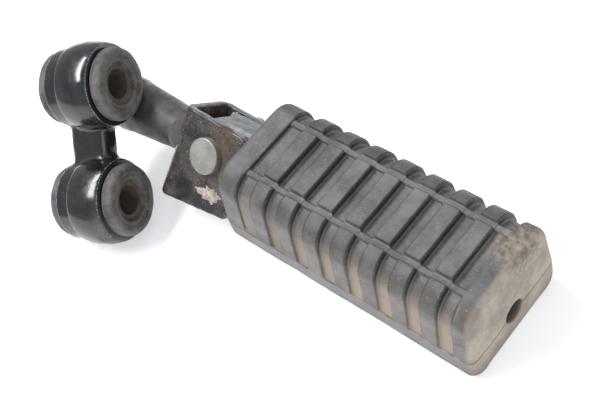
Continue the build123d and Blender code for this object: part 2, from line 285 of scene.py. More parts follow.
# %% The stations along the pad
def pad_stations():
    """Places along x, close together at the walls of the ribs, and how far each is drawn in."""
    walls = [(PAD_START + COLLAR, -1), (CAP_START, 1)]
    for number in range(RIBS):
        start = FIRST_RIB + number * PITCH
        walls += [(start, 1), (start + RIB, -1)]
    places = []
    for place, inward in walls:
        places += [place + inward * d for d in (-0.9, -0.25, 0.0, 0.1, 0.22, 0.38, 0.6, 0.9, 1.4)]
    for number in range(RIBS):
        start = FIRST_RIB + number * PITCH
        places += [start + RIB * share for share in (0.33, 0.5, 0.67)]
        places += [start - 2.6, start - 1.8]
    places += [PAD_START + d for d in (2.2, 3.6, 5.0, 6.4, 7.8)] + [CAP_START - 2.6, CAP_START + 2.2]
    drawn = [0.0] * len(places)
    for degree in np.linspace(0, 90, 7):
        t = math.radians(degree)
        places.append(PAD_START + COLLAR_EDGE * (1 - math.cos(t)))
        drawn.append(COLLAR_EDGE * (1 - math.sin(t)))
    for degree in np.linspace(0, 90, 13):
        t = math.radians(degree)
        places.append(PAD_END - CAP_EDGE * (1 - math.sin(t)))
        drawn.append(CAP_EDGE * (1 - math.cos(t)))
    order = np.argsort(places)
    return np.array(places)[order], np.array(drawn)[order]


stations, drawn_in = pad_stations()
print(len(stations), "stations along the pad")


# %% The grid and what closes its ends
def ring_to(outline, target, steps):
    """Rings of (y, z) points that go from an outline to a target outline inside it."""
    return [outline + (target - outline) * s for s in steps]


def neck_outline(angles):
    """The edge of the tongue's hole in the hinge end, at these angles round the pin."""
    turned = angles - math.radians(HINGE_TILT)
    reach = np.minimum(8.0 / np.maximum(np.abs(np.cos(turned)), 1e-6),
                       7.6 / np.maximum(np.abs(np.sin(turned)), 1e-6))
    return np.stack([reach * np.cos(angles), reach * np.sin(angles)], 1)


def pad_grid():
    """Points (x, y, z), rays, three levels and quad faces of the whole pad, before its ribs."""
    around = len(rays)
    rows = []
    end = starts + rays * (collar_level - drawn_in[-1])[:, None]
    near = starts + rays * (collar_level - drawn_in[0])[:, None]
    angle = np.arctan2(end[:, 1], end[:, 0])
    hole = np.stack([HOLE * np.cos(angle), HOLE * np.sin(angle)], 1)
    angle_near = np.arctan2(near[:, 1], near[:, 0])
    neck = neck_outline(angle_near)
    inner = [(PAD_START + 3.0, neck * 0.02), (PAD_START + 3.0, neck), (PAD_START + 0.5, neck)]
    for ring, place in zip(ring_to(near, neck, (1.0, 0.97, 0.8, 0.6, 0.4, 0.2, 0.06)),
                           (0.25, 0.05, 0, 0, 0, 0, 0)):
        inner.append((PAD_START + place, ring))
    outer = []
    for share in (0.05, 0.13, 0.22, 0.32, 0.42, 0.52, 0.62, 0.72, 0.82, 0.9, 0.95):
        outer.append((PAD_END + 0.25 * math.sin(math.pi * share), end + (hole - end) * share))
    outer += [(PAD_END - 0.05, hole * 1.06), (PAD_END - 0.5, hole), (PAD_END - 2.0, hole * 0.97)]
    outer += [(PAD_END - 6.0, hole * 0.97), (PAD_END - HOLE_DEPTH, hole),
              (PAD_END - HOLE_DEPTH, hole * 0.02)]
    for place, ring in inner:
        rows.append((place, ring, np.zeros_like(rays), collar_level * 0, collar_level * 0,
                     collar_level * 0))
    for place, drawn in zip(stations, drawn_in):
        rows.append((place, starts, rays, collar_level - drawn, rib_level - drawn, gap_level - drawn))
    for place, ring in outer:
        rows.append((place, ring, np.zeros_like(rays), collar_level * 0, collar_level * 0,
                     collar_level * 0))
    points = np.concatenate([np.column_stack([np.full(around, r[0]), r[1]]) for r in rows])
    directions = np.concatenate([np.column_stack([np.zeros(around), r[2]]) for r in rows])
    levels = [np.concatenate([r[k] for r in rows]) for k in (3, 4, 5)]
    index = np.arange(len(rows) * around).reshape(len(rows), around)
    a, b = index[:-1], index[1:]
    quads = np.stack([a, np.roll(a, -1, 1), np.roll(b, -1, 1), b], -1).reshape(-1, 4)
    caps = [index[0][::-1].tolist(), index[-1].tolist()]
    return points, directions, levels, quads.tolist() + caps


pad_points, pad_rays, pad_levels, pad_faces = pad_grid()
print(len(pad_faces), "faces in the pad's grid")

# %% [markdown]
# Node trees are long when each node takes several lines, so these helpers add a node, set its
# options and fill its inputs in one call. A value that is itself a socket is linked.

# %% Helpers for node trees
def feed(tree, socket, value):
    """Links a socket to an input, or sets the input's value."""
    if isinstance(value, bpy.types.NodeSocket):
        tree.links.new(value, socket)
    else:
        socket.default_value = value


def add(tree, kind, options=None, **inputs):
    """Adds a node; options are its settings, and inputs are named with _ for a space."""
    made = tree.nodes.new(kind)
    for key, value in (options or {}).items():
        setattr(made, key, value)
    for key, value in inputs.items():
        feed(tree, made.inputs[key.replace("_", " ")], value)
    return made


def calc(tree, operation, a, b=0.0, c=0.0, clamp=False):
    """One step of arithmetic."""
    made = tree.nodes.new("ShaderNodeMath")
    made.operation = operation
    made.use_clamp = clamp
    for number, value in enumerate((a, b, c)):
        feed(tree, made.inputs[number], value)
    return made.outputs[0]


def new_tree(name, kind, takes, gives):
    """A node group with named inputs and outputs."""
    tree = bpy.data.node_groups.new(name, kind)
    for label, socket, value in takes:
        made = tree.interface.new_socket(name=label, in_out="INPUT", socket_type=socket)
        if value is not None:
            made.default_value = value
    for label, socket in gives:
        tree.interface.new_socket(name=label, in_out="OUTPUT", socket_type=socket)
    return tree, tree.nodes.new("NodeGroupInput").outputs, tree.nodes.new("NodeGroupOutput").inputs


def run_tree(obj, tree, name, **settings):
    """Runs a Geometry Nodes tree on an object with these inputs, and returns its mesh."""
    modifier = obj.modifiers.new(name, "NODES")
    modifier.node_group = tree
    for item in tree.interface.items_tree:
        key = item.name.replace(" ", "_")
        if item.item_type == "SOCKET" and item.in_out == "INPUT" and key in settings:
            modifier[item.identifier] = settings[key]
    evaluated = obj.evaluated_get(bpy.context.evaluated_depsgraph_get())
    mesh = bpy.data.meshes.new_from_object(evaluated)
    obj.modifiers.remove(modifier)
    return mesh


# %% [markdown]
# The tread tree finds the nearest rib's middle from the first rib, the pitch and the count. A
# point inside a rib rises steeply from the gap's floor and rounds over at the top, as rubber
# does when it leaves a mould. The same rule lifts the collar and the cap.

# %% The tread tree
def tread_tree():
    """Geometry Nodes that lift the ribs, the collar and the cap out of the pad's grid."""
    number, whole = "NodeSocketFloat", "NodeSocketInt"
    takes = [("Geometry", "NodeSocketGeometry", None), ("First Rib", number, 38.0), ("Pitch", number, 12.5)]
    takes += [("Rib Width", number, 7.0), ("Ribs", whole, 7), ("Collar End", number, 31.0)]
    takes += [("Cap Start", number, 125.0), ("Edge", number, 0.9), ("Material", "NodeSocketMaterial", None)]
    tree, given, out = new_tree("pad_tread", "GeometryNodeTree", takes,
                                [("Geometry", "NodeSocketGeometry")])

    def stored(name, kind="FLOAT"):
        node = add(tree, "GeometryNodeInputNamedAttribute", {"data_type": kind}, Name=name)
        return node.outputs["Attribute"]

    along = add(tree, "ShaderNodeSeparateXYZ", Vector=add(tree,
                                                          "GeometryNodeInputPosition").outputs[0]).outputs[0]
    half = calc(tree, "MULTIPLY", given["Rib Width"], 0.5)
    first = calc(tree, "ADD", given["First Rib"], half)
    count = calc(tree, "SUBTRACT", along, first)
    count = calc(tree, "ROUND", calc(tree, "DIVIDE", count, given["Pitch"]))
    count = calc(tree, "MINIMUM", calc(tree, "MAXIMUM", count, 0.0),
                 calc(tree, "SUBTRACT", given["Ribs"], 1.0))
    middle = calc(tree, "MULTIPLY_ADD", count, given["Pitch"], first)
    off = calc(tree, "ABSOLUTE", calc(tree, "SUBTRACT", along, middle))

    def lift(inside):
        share = calc(tree, "DIVIDE", inside, given["Edge"], clamp=True)
        return calc(tree, "SUBTRACT", 1.0, calc(tree, "POWER", calc(tree, "SUBTRACT", 1.0, share), 3.0))

    rib = lift(calc(tree, "SUBTRACT", half, off))
    collar = calc(tree, "SUBTRACT", given["Collar End"], along)
    plain = lift(calc(tree, "MAXIMUM", collar, calc(tree, "SUBTRACT", along, given["Cap Start"])))
    level = calc(tree, "MULTIPLY_ADD", calc(tree, "SUBTRACT", stored("rib_level"), stored("gap_level")),
                 rib, stored("gap_level"))
    level = calc(tree, "MULTIPLY_ADD", calc(tree, "SUBTRACT", stored("collar_level"), level), plain, level)
    move = add(tree, "ShaderNodeVectorMath", {"operation": "SCALE"}, Vector=stored("ray", "FLOAT_VECTOR"),
               Scale=level)
    raised = add(tree, "GeometryNodeSetPosition", Geometry=given["Geometry"], Offset=move.outputs[0])
    geometry = raised.outputs[0]
    for label, value in (("rib", rib), ("plain", plain)):
        geometry = add(tree, "GeometryNodeStoreNamedAttribute", {"data_type": "FLOAT"},
                       Geometry=geometry, Name=label, Value=value).outputs[0]
    real = add(tree, "GeometryNodeRealizeInstances", Geometry=geometry)
    painted = add(tree, "GeometryNodeSetMaterial", Geometry=real.outputs[0], Material=given["Material"])
    feed(tree, out["Geometry"], painted.outputs[0])
    return tree


pad_tread = tread_tree()
print(len(pad_tread.nodes), "nodes in the tread tree")

# %% [markdown]
# Dust, wear, mottling and grain are on every piece here, in different amounts. Each is a small
# shader group with its own inputs, so that a material places it with its own values. They read
# Object coordinates in metres, so a scale of 1000 gives features of about a millimetre.

# %% Shader helpers
def rgb(red, green, blue):
    """A colour with full alpha."""
    return (red, green, blue, 1.0)


def blotch(tree, where, scale, detail=4.0, rough=0.6, distort=0.0):
    """Noise from 0 to 1."""
    made = add(tree, "ShaderNodeTexNoise", None, Vector=where, Scale=scale, Detail=detail,
               Roughness=rough, Distortion=distort)
    return made.outputs["Fac"]


def step(tree, value, low, high, to_low=0.0, to_high=1.0):
    """A smooth step from one value to another."""
    made = add(tree, "ShaderNodeMapRange", {"interpolation_type": "SMOOTHSTEP"}, Value=value,
               From_Min=low, From_Max=high, To_Min=to_low, To_Max=to_high)
    return made.outputs["Result"]


def blend_colour(tree, share, a, b, how="MIX"):
    """Mixes two colours."""
    made = add(tree, "ShaderNodeMix", {"data_type": "RGBA", "blend_type": how})
    feed(tree, made.inputs[0], share)
    feed(tree, made.inputs[6], a)
    feed(tree, made.inputs[7], b)
    return made.outputs[2]


def tint(tree, share, strength, colour, over):
    """A colour with another laid over it, by a share times a strength."""
    return blend_colour(tree, calc(tree, "MULTIPLY", share, strength), colour, over)


FLOAT, COLOUR, VECTOR = "NodeSocketFloat", "NodeSocketColor", "NodeSocketVector"


# %% The shared effects
def mottle_group():
    """Two colours mixed by soft blotches with finer ones inside."""
    takes = [("Where", VECTOR, None), ("Scale", FLOAT, 120.0), ("Light", COLOUR, None),
             ("Dark", COLOUR, None)]
    tree, given, out = new_tree("mottle", "ShaderNodeTree", takes, [("Colour", COLOUR)])
    large = blotch(tree, given["Where"], given["Scale"], 3.0, 0.5)
    fine = blotch(tree, given["Where"], calc(tree, "MULTIPLY", given["Scale"], 7.0), 5.0, 0.65)
    both = calc(tree, "MULTIPLY_ADD", fine, 0.45, calc(tree, "MULTIPLY", large, 0.75))
    feed(tree, out["Colour"], blend_colour(tree, step(tree, both, 0.42, 0.8), given["Dark"],
                                           given["Light"]))
    return tree


def dust_group():
    """A mask of dry dust that lies in patches and gathers in hollows."""
    takes = [("Where", VECTOR, None), ("Scale", FLOAT, 90.0), ("Hollow", FLOAT, 0.0),
             ("Amount", FLOAT, 0.5)]
    tree, given, out = new_tree("dry_dust", "ShaderNodeTree", takes, [("Mask", FLOAT)])
    patch = blotch(tree, given["Where"], given["Scale"], 4.0, 0.6)
    speck = blotch(tree, given["Where"], calc(tree, "MULTIPLY", given["Scale"], 16.0), 3.0, 0.7)
    level = calc(tree, "MULTIPLY_ADD", given["Hollow"], 0.5, calc(tree, "MULTIPLY", patch, 0.7))
    level = calc(tree, "ADD", level, calc(tree, "MULTIPLY", speck, 0.3))
    low = calc(tree, "SUBTRACT", 1.0, given["Amount"])
    level = step(tree, level, low, calc(tree, "ADD", low, 0.35))
    feed(tree, out["Mask"], level)
    return tree


def wear_group():
    """A mask of bare metal or scuffed rubber along edges, broken up by noise, with stray chips."""
    takes = [("Where", VECTOR, None), ("Edge", FLOAT, 0.0), ("Reach", FLOAT, 0.5), ("Chips", FLOAT, 0.2)]
    tree, given, out = new_tree("edge_wear", "ShaderNodeTree", takes, [("Mask", FLOAT)])
    ragged = blotch(tree, given["Where"], 900.0, 5.0, 0.7)
    edge = calc(tree, "MULTIPLY_ADD", ragged, 0.7, calc(tree, "SUBTRACT", given["Edge"], 0.35))
    edge = step(tree, edge, calc(tree, "SUBTRACT", 1.0, given["Reach"]),
                calc(tree, "SUBTRACT", 1.12, given["Reach"]))
    chip = blotch(tree, given["Where"], 420.0, 6.0, 0.72, 0.4)
    limit = calc(tree, "SUBTRACT", 0.86, calc(tree, "MULTIPLY", given["Chips"], 0.3))
    chip = step(tree, chip, limit, calc(tree, "ADD", limit, 0.03))
    feed(tree, out["Mask"], calc(tree, "MAXIMUM", edge, chip))
    return tree


def grain_group():
    """A fine uneven height for a Bump node."""
    takes = [("Where", VECTOR, None), ("Fine", FLOAT, 1500.0), ("Coarse", FLOAT, 220.0),
             ("Share", FLOAT, 0.5)]
    tree, given, out = new_tree("grain", "ShaderNodeTree", takes, [("Height", FLOAT)])
    fine = blotch(tree, given["Where"], given["Fine"], 4.0, 0.7)
    coarse = blotch(tree, given["Where"], given["Coarse"], 5.0, 0.6)
    both = calc(tree, "ADD", calc(tree, "MULTIPLY", fine, calc(tree, "SUBTRACT", 1.0, given["Share"])),
                calc(tree, "MULTIPLY", coarse, given["Share"]))
    feed(tree, out["Height"], both)
    return tree


MOTTLE, DUST, WEAR, GRAIN = mottle_group(), dust_group(), wear_group(), grain_group()


def effect(tree, group, **inputs):
    """Places a shared effect in a material and returns what it puts out."""
    return add(tree, "ShaderNodeGroup", {"node_tree": group}, **inputs).outputs[0]


def mottled(tree, where, scale, light, dark):
    """Cloudy patches of a light and a dark colour."""
    return effect(tree, MOTTLE, Where=where, Scale=scale, Light=light, Dark=dark)


def new_material(name, **constants):
    """A material with its Principled BSDF; constants go straight on the shader's sockets."""
    material = bpy.data.materials.new(name)
    material.use_nodes = True
    tree = material.node_tree
    shader = tree.nodes["Principled BSDF"]
    for key, value in constants.items():
        shader.inputs[key.replace("_", " ")].default_value = value
    where = add(tree, "ShaderNodeTexCoord").outputs["Object"]
    return material, tree, shader.inputs, where


def vertex_value(tree, name):
    """A value stored at the vertices."""
    return add(tree, "ShaderNodeAttribute", {"attribute_name": name}).outputs["Fac"]


def bump(tree, height, strength, distance):
    """A normal from a height, where distance is in millimetres."""
    return add(tree, "ShaderNodeBump", None, Height=height, Strength=strength,
               Distance=distance * MM).outputs[0]


def spot(tree, where, centre, radius, ragged=0.5):
    """A soft ragged spot round a point in row millimetres, from 1 in the middle to 0."""
    off = add(tree, "ShaderNodeVectorMath", {"operation": "DISTANCE"})
    feed(tree, off.inputs[0], where)
    off.inputs[1].default_value = [v * MM for v in centre]
    away = calc(tree, "DIVIDE", off.outputs["Value"], radius * MM)
    away = calc(tree, "MULTIPLY_ADD", blotch(tree, where, 300.0, 5.0, 0.65), ragged, away)
    return step(tree, away, 0.55 + ragged * 0.5, 1.05 + ragged * 0.5, 1.0, 0.0)


# %% [markdown]
# The pad's rubber is mid grey with patches of painted bluish sheen on its sides. Its rib walls that
# face the camera and its hollows get painted shade and old dirt, tan dust lies low in the side gaps
# and along the mould's parting line, and the outer end is rubbed brown where it touches the ground.

# %% Pad rubber
PIN = Vector(PEG.translation)


def from_pin(tree, where):
    """x, y and z in millimetres from the pin."""
    off = add(tree, "ShaderNodeVectorMath", {"operation": "SUBTRACT"})
    feed(tree, off.inputs[0], where)
    off.inputs[1].default_value = PIN * MM
    scaled = add(tree, "ShaderNodeVectorMath", {"operation": "SCALE"}, Vector=off.outputs[0], Scale=1000.0)
    return add(tree, "ShaderNodeSeparateXYZ", Vector=scaled.outputs[0]).outputs


def line_near(tree, value, target, width):
    """A soft line where a value is near a target."""
    off = calc(tree, "ABSOLUTE", calc(tree, "SUBTRACT", value, target))
    return step(tree, off, width * 0.4, width, 1.0, 0.0)


def times(tree, *values):
    """The product of several values."""
    result = values[0]
    for value in values[1:]:
        result = calc(tree, "MULTIPLY", result, value)
    return result


def pad_rubber():
    material, tree, shader, where = new_material("pad_rubber")
    x, y, z = from_pin(tree, where)
    rib, plain = vertex_value(tree, "rib"), vertex_value(tree, "plain")
    raised = calc(tree, "MAXIMUM", rib, plain)
    side = step(tree, calc(tree, "ABSOLUTE", y), 13.5, 21.0)
    low = step(tree, z, 23.0, 8.0)
    colour = mottled(tree, where, 70.0, rgb(0.150, 0.148, 0.152), rgb(0.072, 0.072, 0.075))
    browned = mottled(tree, where, 110.0, rgb(0.225, 0.198, 0.172), rgb(0.085, 0.078, 0.073))
    colour = tint(tree, side, 0.65, colour, browned)
    # painted bluish sheen, laid in patches on the sides of the pad
    sheen_patches = blotch(tree, where, 140.0, 3.0, 0.5, 0.3)
    colour = blend_colour(tree, times(tree, step(tree, sheen_patches, 0.52, 0.72), side, 0.6), colour,
                          rgb(0.075, 0.085, 0.1))
    base = step(tree, z, 0.4, -0.4)
    colour = tint(tree, base, 0.75, colour, rgb(0.165, 0.168, 0.175))
    edge = vertex_value(tree, "edge")
    scuffed = effect(tree, WEAR, Where=where, Edge=edge, Reach=0.55, Chips=0.12)
    colour = tint(tree, scuffed, 0.35, colour, rgb(0.24, 0.23, 0.22))
    along = calc(tree, "MODULO", calc(tree, "ADD", x, PITCH / 2 - FIRST_RIB), PITCH)
    # painted shade with old dirt: the rib walls that face the camera, and the hollows, are darkened almost
    # to black
    facing_wall_shade = times(tree, raised, calc(tree, "SUBTRACT", 1.0, raised), 4.0, step(tree, z, 0.8, 1.8),
                 step(tree, along, 4.0, 3.0))
    grime = calc(tree, "MAXIMUM", facing_wall_shade, calc(tree, "MULTIPLY", vertex_value(tree, "hollow"), 0.9))
    colour = blend_colour(tree, calc(tree, "MULTIPLY", grime, 0.95, clamp=True), colour,
                          rgb(0.012, 0.011, 0.010))
    in_gap = calc(tree, "SUBTRACT", 1.0, raised)
    outward = step(tree, x, 30.0, 95.0, 0.35, 1.0)
    gap_dust = effect(tree, DUST, Where=where, Scale=380.0, Hollow=0.35, Amount=0.66)
    gap_dust = times(tree, gap_dust, in_gap, side, low, outward, step(tree, z, 0.0, 1.0))
    colour = tint(tree, gap_dust, 0.9, colour, rgb(0.37, 0.30, 0.23))
    top_dust = effect(tree, DUST, Where=where, Scale=210.0, Hollow=0.2, Amount=0.42)
    top_dust = times(tree, top_dust, in_gap, calc(tree, "SUBTRACT", 1.0, side), outward)
    colour = tint(tree, top_dust, 0.6, colour, rgb(0.26, 0.21, 0.17))
    haze = effect(tree, DUST, Where=where, Scale=60.0, Hollow=0.0, Amount=0.52)
    colour = blend_colour(tree, times(tree, haze, 0.3), colour, rgb(0.24, 0.21, 0.19))
    grit = times(tree, step(tree, blotch(tree, where, 1500.0, 2.0), 0.6, 0.68),
                 step(tree, blotch(tree, where, 130.0, 3.0), 0.4, 0.62))
    colour = tint(tree, grit, 0.55, colour, rgb(0.30, 0.26, 0.22))
    parting = times(tree, line_near(tree, z, 0.1, 0.55), step(tree, x, 131.5, 129.0))
    tan = times(tree, parting, step(tree, blotch(tree, where, 180.0, 4.0, 0.6), 0.42, 0.6))
    colour = blend_colour(tree, parting, colour, rgb(0.05, 0.042, 0.037))
    colour = blend_colour(tree, calc(tree, "MULTIPLY", tan, outward), colour, rgb(0.33, 0.23, 0.16))
    end = step(tree, x, 129.6, 132.4)
    scoured = mottled(tree, where, 90.0, rgb(0.42, 0.36, 0.30), rgb(0.25, 0.215, 0.18))
    colour = blend_colour(tree, calc(tree, "MULTIPLY", end, step(tree, z, -9.0, -4.0, 0.45, 0.92)), colour,
                          scoured)
    end_line = times(tree, line_near(tree, z, -0.2, 0.45), end)
    colour = tint(tree, end_line, 0.8, colour, rgb(0.06, 0.052, 0.046))
    raw = spot(tree, where, PIN + Vector((131.0, 10.0, 23.0)), 11.0, 0.9)
    torn = mottled(tree, where, 480.0, rgb(0.36, 0.30, 0.24), rgb(0.10, 0.085, 0.07))
    colour = tint(tree, raw, 0.8, colour, torn)
    scratch = times(tree, line_near(tree, x, 127.0, 0.18), step(tree, y, -7.0, -9.5),
                    step(tree, z, 11.0, 14.0),
                    step(tree, blotch(tree, where, 260.0, 3.0), 0.5, 0.62))
    colour = tint(tree, scratch, 0.35, colour, rgb(0.42, 0.43, 0.43))
    # painted shade inside the screw hole in the outer end, darkest at its bottom
    bore = calc(tree, "MULTIPLY", step(tree, calc(tree, "SQRT",
                                                  calc(tree, "ADD", calc(tree, "MULTIPLY", y, y),
                calc(tree, "MULTIPLY", z, z))), 4.75, 4.5), step(tree, x, 120.0, 126.0, 1.0, 0.75))
    colour = blend_colour(tree, calc(tree, "MULTIPLY", bore, step(tree, x, 100.0, 118.0)), colour,
                          rgb(0.06, 0.05, 0.042))
    feed(tree, shader["Base Color"], colour)
    rough = step(tree, blotch(tree, where, 95.0, 3.0), 0.3, 0.7, 0.46, 0.62)
    dusty = calc(tree, "MAXIMUM", gap_dust, calc(tree, "MAXIMUM", end, raw), clamp=True)
    feed(tree, shader["Roughness"], calc(tree, "MULTIPLY_ADD", dusty, 0.25, rough))
    fine = effect(tree, GRAIN, Where=where, Fine=2600.0, Coarse=420.0, Share=0.55)
    rugged = calc(tree, "MULTIPLY", blotch(tree, where, 700.0, 5.0, 0.7), calc(tree, "MULTIPLY", raw, 2.5))
    feed(tree, shader["Normal"], bump(tree, calc(tree, "ADD", fine, rugged), 0.55, 0.22))
    return material


PAD_RUBBER = pad_rubber()

# %% [markdown]
# The tree runs once on the grid. Rubber is never quite flat, so the finished mesh gets slight
# swellings and a torn patch at the top of the outer end.

# %% Make the pad
def build_pad():
    """The ribbed pad as one closed mesh on the peg."""
    grid = mesh_object("pad_grid", pad_points, pad_faces)
    for name, values in zip(("collar_level", "rib_level", "gap_level"), pad_levels):
        keep_value(grid, name, values)
    ray = grid.data.attributes.new("ray", "FLOAT_VECTOR", "POINT")
    ray.data.foreach_set("vector", pad_rays.astype(np.float32).ravel())
    mesh = run_tree(grid, pad_tread, "tread", First_Rib=FIRST_RIB, Pitch=PITCH, Rib_Width=RIB, Ribs=RIBS,
                    Collar_End=PAD_START + COLLAR, Cap_Start=CAP_START, Edge=0.6, Material=PAD_RUBBER)
    for name in ("collar_level", "rib_level", "gap_level", "ray"):
        mesh.attributes.remove(mesh.attributes[name])
    mesh.name = "ribbed_pad"
    pad = bpy.data.objects.new("ribbed_pad", mesh)
    bpy.context.scene.collection.objects.link(pad)
    bpy.data.objects.remove(grid)
    points = points_of(pad)
    local = points.copy()
    move_points(pad, placed(points, PEG))
    points, normals = points_of(pad), normals_of(pad)
    inside = np.hypot(local[:, 1], local[:, 2]) < 12
    give = 0.22 * lumps(points, 16, 3) + 0.08 * lumps(points, 4, 5)
    torn = np.exp(-((local[:, 0] - 132) / 3.5) ** 2 - ((local[:, 1] - 10) / 8) ** 2
                  - ((local[:, 2] - 22.5) / 4) ** 2)
    give -= torn * (0.35 + 0.55 * np.abs(lumps(points, 1.7, 9)))
    give[inside] *= 0.2
    move_points(pad, points + normals * (np.minimum(give, 0.3) * MM)[:, None])
    mark_relief(pad, 0.25, 6)
    return pad


pad = build_pad()
print("pad triangles:", sum(len(p.vertices) - 2 for p in pad.data.polygons))

# %% [markdown]
# The forging left its dies with soft corners and a flare where the strut runs into each eye,
# which the CAD model has as plain joins. A voxel remesh of a merged copy gives one even skin.
# Smoothing then rounds it, with extra passes on the joins, so that the metal seems to flow.

# %% A softened copy of a CAD piece
def merged_copy(node, name):
    """A copy of a CAD node with its loose triangles merged."""
    mesh = nodes[node].data.copy()
    mesh.materials.clear()
    shape = bmesh.new()
    shape.from_mesh(mesh)
    bmesh.ops.remove_doubles(shape, verts=shape.verts, dist=0.002 * MM)
    shape.to_mesh(mesh)
    shape.free()
    copy = bpy.data.objects.new(name, mesh)
    bpy.context.scene.collection.objects.link(copy)
    return copy


def even_skin(obj, voxel):
    """Remeshes an object into small even quads of a size in millimetres."""
    remesh = obj.modifiers.new("skin", "REMESH")
    remesh.mode = "VOXEL"
    remesh.voxel_size = voxel * MM
    remesh.use_smooth_shade = True
    return settle(obj)


def soften(obj, passes, share=None):
    """Smooths an object, everywhere or by a share from 0 to 1 at each vertex."""
    smooth = obj.modifiers.new("soften", "SMOOTH")
    smooth.factor, smooth.iterations = 0.5, passes
    if share is not None:
        group = obj.vertex_groups.new(name="share")
        for number in np.nonzero(share > 0.01)[0]:
            group.add([int(number)], float(share[number]), "REPLACE")
        smooth.vertex_group = "share"
    settle(obj)
    obj.vertex_groups.clear()
    return obj


def in_frame(points, matrix):
    """Points in metres of the row as millimetres of a working frame."""
    m = np.array(matrix.inverted())
    return (points / MM) @ m[:3, :3].T + m[:3, 3]


# %% Make the forging and the clevis
def build_forging():
    """The two eyes, the strut and the arm as one forged skin."""
    forging = even_skin(merged_copy("hanger_forging", "forged_hanger"), 0.5)
    points = points_of(forging)
    up, low = in_frame(points, EYE), in_frame(points, LOWER_EYE)
    near = np.zeros(len(points))
    for local, facing in ((up, -1), (low, 1)):
        away = np.hypot(local[:, 1], local[:, 2])
        beside = (np.abs(local[:, 0]) < 9.5) & (local[:, 2] * facing > 0) & (np.abs(local[:, 1]) < 9)
        near = np.maximum(near, np.where(beside, np.exp(-((away - 18.5) / 3.0) ** 2), 0))
    elbow = np.exp(-((np.hypot(up[:, 1], up[:, 2]) - 19.0) / 3.5) ** 2) * (up[:, 2] > -14) * (up[:, 0] > 4)
    near = np.maximum(near, elbow * (np.hypot(up[:, 1], up[:, 2]) > 16.5))
    soften(forging, 3)
    soften(forging, 60, near)
    points, normals = points_of(forging), normals_of(forging)
    beside = in_frame(points, HINGE)
    on_arm = ramp(beside[:, 0], -54, -47) * ramp(beside[:, 1], -15, -9)
    arm = on_arm > 0.5
    give = np.where(arm, 0.22, 0.05) * lumps(points, 9, 4) + np.where(arm, 0.06, 0.015) * lumps(points,
            2.2, 8)
    move_points(forging, points + normals * (give * MM)[:, None])
    keep_value(forging, "arm", on_arm)
    mark_relief(forging, 0.3, 6)
    return forging


def build_clevis():
    """The bent sheet clevis with rolled edges and slight dents."""
    clevis = soften(even_skin(merged_copy("clevis", "bent_clevis"), 0.45), 9)
    points, normals = points_of(clevis), normals_of(clevis)
    give = 0.12 * lumps(points, 8, 2) + 0.03 * lumps(points, 1.6, 6)
    move_points(clevis, points + normals * (np.minimum(give, 0.06) * MM)[:, None])
    mark_relief(clevis, 0.3, 6)
    return clevis


forging, clevis = build_forging(), build_clevis()
for obj in (forging, clevis):
    print(obj.name, "triangles:", sum(len(p.vertices) - 2 for p in obj.data.polygons))


# %% [markdown]
# Both are black paint over steel, but in different states. The eyes are still glossy, with
# pale worn lines at their edges, while the arm is dull under brown grime. The clevis is grimy
# too, with rust round the pin head and paint that has wrinkled and lifted near its low corner.

# %% Black paint
def hinge_spot(x, y, z):
    """A place in the clevis's frame, in row millimetres."""
    return HINGE @ Vector((x, y, z))


def forging_paint():
    material, tree, shader, where = new_material("hanger_paint", Coat_Roughness=0.12)
    edge, hollow = vertex_value(tree, "edge"), vertex_value(tree, "hollow")
    arm = calc(tree, "MAXIMUM", vertex_value(tree, "arm"),
               step(tree, from_pin(tree, where)[0], -30.0, -24.0))
    colour = mottled(tree, where, 150.0, rgb(0.014, 0.014, 0.017), rgb(0.004, 0.004, 0.005))
    dull = mottled(tree, where, 180.0, rgb(0.105, 0.092, 0.085), rgb(0.040, 0.036, 0.035))
    colour = tint(tree, arm, 0.9, colour, dull)
    film = effect(tree, DUST, Where=where, Scale=110.0, Hollow=hollow, Amount=0.5)
    colour = tint(tree, film, 0.4, colour, rgb(0.07, 0.066, 0.066))
    bare = effect(tree, WEAR, Where=where, Edge=edge, Reach=0.62, Chips=0.32)
    colour = tint(tree, bare, 0.75, colour, rgb(0.30, 0.30, 0.32))
    feed(tree, shader["Base Color"], colour)
    gloss = step(tree, blotch(tree, where, 170.0, 4.0, 0.6), 0.35, 0.75, 0.12, 0.34)
    dusty = calc(tree, "MAXIMUM", calc(tree, "MULTIPLY", arm, 0.75), calc(tree, "MULTIPLY", film, 0.6))
    feed(tree, shader["Roughness"], calc(tree, "MULTIPLY_ADD", dusty, 0.4, gloss))
    feed(tree, shader["Metallic"], calc(tree, "MULTIPLY", bare, 0.5))
    coat = calc(tree, "SUBTRACT", 0.4, calc(tree, "MULTIPLY", dusty, 0.8), clamp=True)
    feed(tree, shader["Coat Weight"], coat)
    height = effect(tree, GRAIN, Where=where, Fine=1500.0, Coarse=330.0, Share=0.6)
    height = calc(tree, "SUBTRACT", height, calc(tree, "MULTIPLY", bare, 0.35))
    feed(tree, shader["Normal"], bump(tree, height, 0.4, 0.12))
    return material


